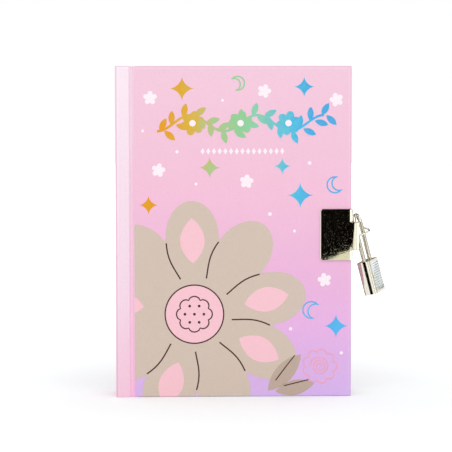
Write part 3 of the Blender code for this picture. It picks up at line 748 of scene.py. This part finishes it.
def crescent(x, z, radius, turn):
    """A moon's outline, from two arcs."""
    points = []
    for i in range(25):
        angle = math.radians(turn - 120 + 240 * i / 24)
        points.append(((x + radius * math.cos(angle)) / 1000, (z + radius * math.sin(angle)) / 1000))
    inner = radius * 0.9
    offset = radius * 0.55
    for i in range(1, 20):
        angle = math.radians(turn + 106 - 212 * i / 20)
        cx = x - offset * math.cos(math.radians(turn))
        cz = z - offset * math.sin(math.radians(turn))
        points.append(((cx + inner * math.cos(angle)) / 1000, (cz + inner * math.sin(angle)) / 1000))
    return points


FLOWERS = [(-54.1, 158.3, 0.3), (6.0, 161.9, 0.0), (44.1, 157.3, 0.6), (-3.3, 114.3, 0.2)]
FLOWERS += [(38.0, 62.0, 0.5), (-49.8, 120.3, 0.1)]
SPARKLES = [(-37.3, 163.2, 6.4), (27.1, 164.1, 5.4), (-22.8, 121.6, 5.6), (25.1, 106.9, 6.8)]
SPARKLES += [(44.1, 37.4, 6.4), (-55.1, 101.9, 5), (15.6, 122.3, 4.4)]
MOONS = [(43.5, 112.4, 4.2, 200), (-8.0, 166.0, 3.6, 20), (31.0, 46.0, 4.4, 160)]
DOTS = [(-40, 130, 0.9), (-16, 157, 0.8), (30, 124, 1.0), (9, 97, 1.0), (22, 88, 0.8), (40, 92, 0.8)]
DOTS += [(-58, 141, 0.8), (47, 23, 0.9), (20, 36, 0.9), (-30, 113, 0.8)]
ROSETTE = (35.5, 16.0)
film("small_flowers", [ring(x, z, 3.7, 50, 5, 0.45, turn) for x, z, turn in FLOWERS], FIRST_FILM, white)
film("foil_sparkles", [sparkle(*mark) for mark in SPARKLES], FIRST_FILM, foil)
line("foil_moons", [(crescent(*mark), True) for mark in MOONS], 0.0007, FIRST_FILM, foil)
film("small_dots", [ring(x, z, radius, 16) for x, z, radius in DOTS], FIRST_FILM, white)
spiral = []
for i in range(90):
    angle = i / 89 * 5 * math.pi
    reach = 1.0 + 4.2 * i / 89
    x, z = ROSETTE[0] + reach * math.cos(angle), ROSETTE[1] + reach * math.sin(angle)
    spiral.append((x / 1000, z / 1000))
line("rosette", [(ring(*ROSETTE, 9.2, 72, 9, 0.2), True), (spiral, False)], 0.0006, FIRST_FILM, coral)


# The clasp: two plates stamped from bright nickel plated steel, with ears that grip the board's edge.
# The plating is a mirror with fine specks; its stamped edges are slightly rounded and catch the light.
nickel, tree, shader = finish("bright_nickel_plate", {"Metallic": 1.0})
place = add(tree, "ShaderNodeTexCoord")["Object"]
specks = add(tree, "ShaderNodeTexNoise", {"Vector": place, "Scale": 1900.0, "Detail": 2.0})["Fac"]
ripple = add(tree, "ShaderNodeTexNoise", {"Vector": place, "Scale": 260.0, "Detail": 1.0})["Fac"]
tone = add(tree, "ShaderNodeValToRGB", {"Fac": specks}, [(0.35, "#E2DCC8"), (0.7, "#F2EFE2")])["Color"]
haze = {"Value": specks, "From Min": 0.57, "From Max": 0.68, "To Min": 0.015, "To Max": 0.088}
tree.links.new(add(tree, "ShaderNodeMapRange", haze)["Result"], shader.inputs["Roughness"])
uneven = add(tree, "ShaderNodeMath", {0: ripple, 1: 1.0, 2: specks}, operation="MULTIPLY_ADD")[0]
surface(tree, shader, tone, uneven, 0.0000011)


def refined(name, source, width, segments, angle=25, shape=None, clamp=True):
    """A copy of a CAD node's shape, reshaped by a function if there is one, with its edges rounded."""
    piece = bpy.data.objects.new(name, nodes[source].data.copy())
    bpy.context.scene.collection.objects.link(piece)
    bpy.ops.object.select_all(action="DESELECT")
    piece.select_set(True)
    bpy.context.view_layer.objects.active = piece
    piece.data.materials.clear()
    if piece.data.has_custom_normals:
        bpy.ops.mesh.customdata_custom_splitnormals_clear()
    bpy.ops.object.mode_set(mode="EDIT")
    bpy.ops.mesh.select_all(action="SELECT")
    bpy.ops.mesh.remove_doubles(threshold=0.000002)
    bpy.ops.mesh.dissolve_limited(angle_limit=math.radians(0.5))
    bpy.ops.object.mode_set(mode="OBJECT")
    if shape:
        shape(piece)
    soft = piece.modifiers.new("edges", "BEVEL")
    soft.width = width
    soft.segments = segments
    soft.limit_method = "ANGLE"
    soft.use_clamp_overlap = clamp
    soft.angle_limit = math.radians(angle)
    bpy.ops.object.modifier_apply(modifier="edges")
    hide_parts(source)
    return piece


ROLL_START, ROLL_END = 0.0511, 0.0529
ROLL_CUTS = (0, (ROLL_START, 0.0516, 0.0520, 0.0527))
EAR_CUTS = (2, (0.0770, 0.0776, 0.0924, 0.0930))
CLASP_Y = 0.0118
ROLL_DEPTH = 0.0005
ROLL_REACH = 0.00183


def roll(piece):
    """Give the outside of each ear's fold an oval roll, eased out beside the tongue."""
    bpy.ops.object.mode_set(mode="EDIT")
    for axis, cuts in (ROLL_CUTS, EAR_CUTS):
        normal = [float(i == axis) for i in range(3)]
        for cut in cuts:
            bpy.ops.mesh.select_all(action="SELECT")
            bpy.ops.mesh.bisect(plane_co=[cut if i == axis else 0 for i in range(3)], plane_no=normal)
    bpy.ops.object.mode_set(mode="OBJECT")
    for v in piece.data.vertices:
        ear = v.co.z < 0.07701 or v.co.z > 0.09299
        if ear and abs(v.co.y) > CLASP_Y - 0.0004 and ROLL_START < v.co.x < ROLL_END:
            fall = ROLL_DEPTH * (1 - math.sqrt(1 - ((v.co.x - ROLL_START) / ROLL_REACH) ** 2))
            v.co.y = math.copysign(CLASP_Y - fall, v.co.y)


front_plate = refined("front_hasp", "front_clasp_plate", 0.00024, 1, shape=roll, clamp=False)
settle(front_plate, "front_cover", nickel, 40)
back_plate = refined("back_hasp", "back_clasp_plate", 0.00025, 2, shape=roll)
settle(back_plate, "back_cover", nickel, 40)

# The staple: bright wire bent to a rounded triangle, its two feet brazed to the back strap.
# The shackle's far leg goes through it, as the near leg goes through the front plate's tongue.
TURN = math.radians(27.0)
TILT = math.radians(14.6)
LEG_SPACING = 0.0085
STAPLE_RADIUS = 0.0005
STAPLE_Z = 0.0835
foot_x = EDGE_X + 0.0022 + 0.0005 + 0.0003
middle_y = LEG_SPACING * math.cos(TURN) / 2
nose = Vector((foot_x + 0.0090, middle_y, STAPLE_Z + 0.00375))
foot = Vector((foot_x, middle_y - 0.0044, STAPLE_Z))
top = Vector((foot_x, middle_y + 0.0044, STAPLE_Z + 0.0075))
start = nose + (foot - nose).normalized() * 0.002
end = nose + (top - nose).normalized() * 0.002
bend = [start * (1 - t) ** 2 + nose * 2 * t * (1 - t) + end * t**2 for t in [k / 12 for k in range(13)]]
staple = round_wire("wire_staple", [([foot] + bend + [top], False)], STAPLE_RADIUS, 6)
settle(staple, "back_cover", nickel, 50)
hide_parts("lock_staple")

# The padlock's shackle: 2.3 mm wire bent to a bow, polished and plated, one leg long and one short.
# HANG turns and tilts the whole padlock about the middle of the bow, where it hangs on the clasp.
SHACKLE_RADIUS = 0.00115
LEG_SHOWN = 0.0206
SHORT_INSIDE = 0.0041
LONG_INSIDE = 0.0129
BODY_LENGTH = 0.0178
BOW = Vector((EDGE_X + 0.0044, 0, 0.0914))
HANG = Matrix.Translation(BOW) @ Matrix.Rotation(-TILT, 4, "Y") @ Matrix.Rotation(math.pi / 2 - TURN, 4, "Z")
half = LEG_SPACING / 2
bow = [(-half, -LEG_SHOWN - SHORT_INSIDE)]
bow += [(half * math.cos(a), half * math.sin(a)) for a in [math.pi * (1 - k / 28) for k in range(29)]]
bow.append((half, -LEG_SHOWN - LONG_INSIDE))
bow = [HANG @ Vector((x, 0, z)) for x, z in bow]
shackle = round_wire("bow_shackle", [(bow, False)], SHACKLE_RADIUS, 6)
settle(shackle, "shackle", nickel, 50)
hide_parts("padlock_shackle")

# The padlock's body: two pressed nickel plated shells that meet in a seam along the narrow sides.
# The wide faces are pressed with fine ribs inside a plain margin, and look satin for it.
RIB_STEP = 0.00032
RIB_ROWS = 48
RIB_DEPTH = 0.00016
RIB_TOP = -LEG_SHOWN - 0.0012
RIB_END = 0.0059
RIB_EASE = 0.0002
SHELL_Y = 0.0037
CROWN = 0.0004
SET_BACK = 0.00006
SIDE_CUTS = [i * 0.0003 for i in (-9, -7, -5, -3, 3, 5, 7, 9)]
SATINS = [(0.3, "#DCE2E2"), (0.7, "#EEF3F3")]
satin = grained("satin_nickel_plate", {"Metallic": 1.0, "Roughness": 0.2}, 2200.0, 3.0, SATINS, 0.00001)
wide = (HANG.to_3x3() @ Vector((0, 1, 0))).normalized()
along = (HANG.to_3x3() @ Vector((0, 0, 1))).normalized()
across = (HANG.to_3x3() @ Vector((1, 0, 0))).normalized()


def pressed(face):
    """Whether a face is the flat of a shell's wide outer side."""
    return abs((HANG.inverted() @ face.center).y) > SHELL_Y - 0.0001 and abs(face.normal.dot(wide)) > 0.999


def crowned(v):
    """Round off the narrow side towards the near shell, and set it back a hair on the far shell."""
    at = HANG.inverted() @ v.co
    share = min(1.0, max(0.0, (abs(at.x) - 0.0045) / 0.0025))
    if at.y < 0:
        crown = CROWN * (at.y / SHELL_Y) ** 2
    else:
        crown = SET_BACK * min(1.0, max(0.0, (at.y - 0.0015) / 0.0006))
    v.co -= across * math.copysign(share * crown, at.x)


SHELLS = (("padlock_near_shell", "padlock_front_shell"), ("padlock_far_shell", "padlock_back_shell"))
for name, source in SHELLS:
    shell = refined(name, source, 0.00022, 3, 40)
    shell.data.materials.append(nickel)
    shell.data.materials.append(satin)

    bpy.ops.object.mode_set(mode="EDIT")
    for y in SIDE_CUTS:
        bpy.ops.mesh.select_all(action="SELECT")
        bpy.ops.mesh.bisect(plane_co=HANG @ Vector((0, y, 0)), plane_no=wide)
    bpy.ops.object.mode_set(mode="OBJECT")
    for v in shell.data.vertices:
        crowned(v)

    choose(shell, "FACE", pressed)
    shell.active_material_index = 1
    bpy.ops.object.material_slot_assign()
    cuts = [(Vector((0, 0, RIB_TOP - i * RIB_STEP)), along) for i in range(RIB_ROWS + 1)]
    cuts += [(Vector((x, 0, 0)), across) for x in (-RIB_END, RIB_EASE - RIB_END, RIB_END - RIB_EASE, RIB_END)]
    for point, normal in cuts:
        bpy.ops.mesh.select_all(action="DESELECT")
        bpy.ops.object.material_slot_select()
        bpy.ops.mesh.bisect(plane_co=HANG @ point, plane_no=normal)
    bpy.ops.object.mode_set(mode="OBJECT")
    for face in shell.data.polygons:
        at = HANG.inverted() @ face.center
        if abs(at.x) > RIB_END or not 0 < RIB_TOP - at.z < RIB_ROWS * RIB_STEP:
            face.material_index = 0
    for i in {i for face in shell.data.polygons if face.material_index for i in face.vertices}:
        at = HANG.inverted() @ shell.data.vertices[i].co
        if abs(at.x) < RIB_END - RIB_EASE / 2:
            turn = (RIB_TOP - at.z) / RIB_STEP * math.pi / 2
            shell.data.vertices[i].co -= wide * math.copysign(RIB_DEPTH * (1 - math.cos(turn)) / 2, at.y)
    settle(shell, "padlock_body", nickel, 40)

# Inside the padlock: a cast zinc insert, a spring steel catch and a turned brass plug with its keyway.
# The zinc is dull from its mould and the steel bluish; the plug's face has round turning marks.
ZINCS = [(0.3, "#A9ABAE"), (0.7, "#BDBFC2")]
zinc = grained("cast_zinc", {"Metallic": 1.0, "Roughness": 0.5}, 1200.0, 3.0, ZINCS, 0.00004)
nodes["padlock_core"].material_slots[0].material = zinc
STEELS = [(0.3, "#8F949B"), (0.7, "#A9AEB5")]
steel = grained("blue_spring_steel", {"Metallic": 1.0, "Roughness": 0.28}, 900.0, 2.0, STEELS, 0.0)
nodes["catch_spring"].material_slots[0].material = steel
TOOL_MARKS = 0.00022
brass, tree, shader = finish("turned_brass", {"Metallic": 1.0, "Roughness": 0.25})
centre = HANG @ Vector((0, 0, -LEG_SHOWN - BODY_LENGTH))
place = add(tree, "ShaderNodeTexCoord")["Object"]
offset = add(tree, "ShaderNodeVectorMath", {0: place, 1: centre}, operation="DISTANCE")["Value"]
marks = waves(tree, offset, TOOL_MARKS)
tone = add(tree, "ShaderNodeValToRGB", {"Fac": marks}, [(0.0, "#C8A35C"), (0.9, "#DDBB77")])["Color"]
surface(tree, shader, tone, marks, 0.00001)
settle(refined("brass_plug", "key_plug", 0.00012, 2), "plug", brass, 40)

# The rivets: three plated pins that hold the two shells together.
# Their small domed heads are pressed nearly flush with the wide faces.
HEAD_PRESS = 0.6


def flush(piece):
    """Press a rivet's two heads down towards the shells."""
    for v in piece.data.vertices:
        y = (HANG.inverted() @ v.co).y
        if abs(y) > SHELL_Y:
            v.co -= wide * math.copysign(HEAD_PRESS * (abs(y) - SHELL_Y), y)


for i in (1, 2, 3):
    rivet = refined(f"domed_rivet_{i}", f"padlock_rivet_{i}", 0.00008, 2, shape=flush)
    settle(rivet, "padlock_body", nickel, 60)
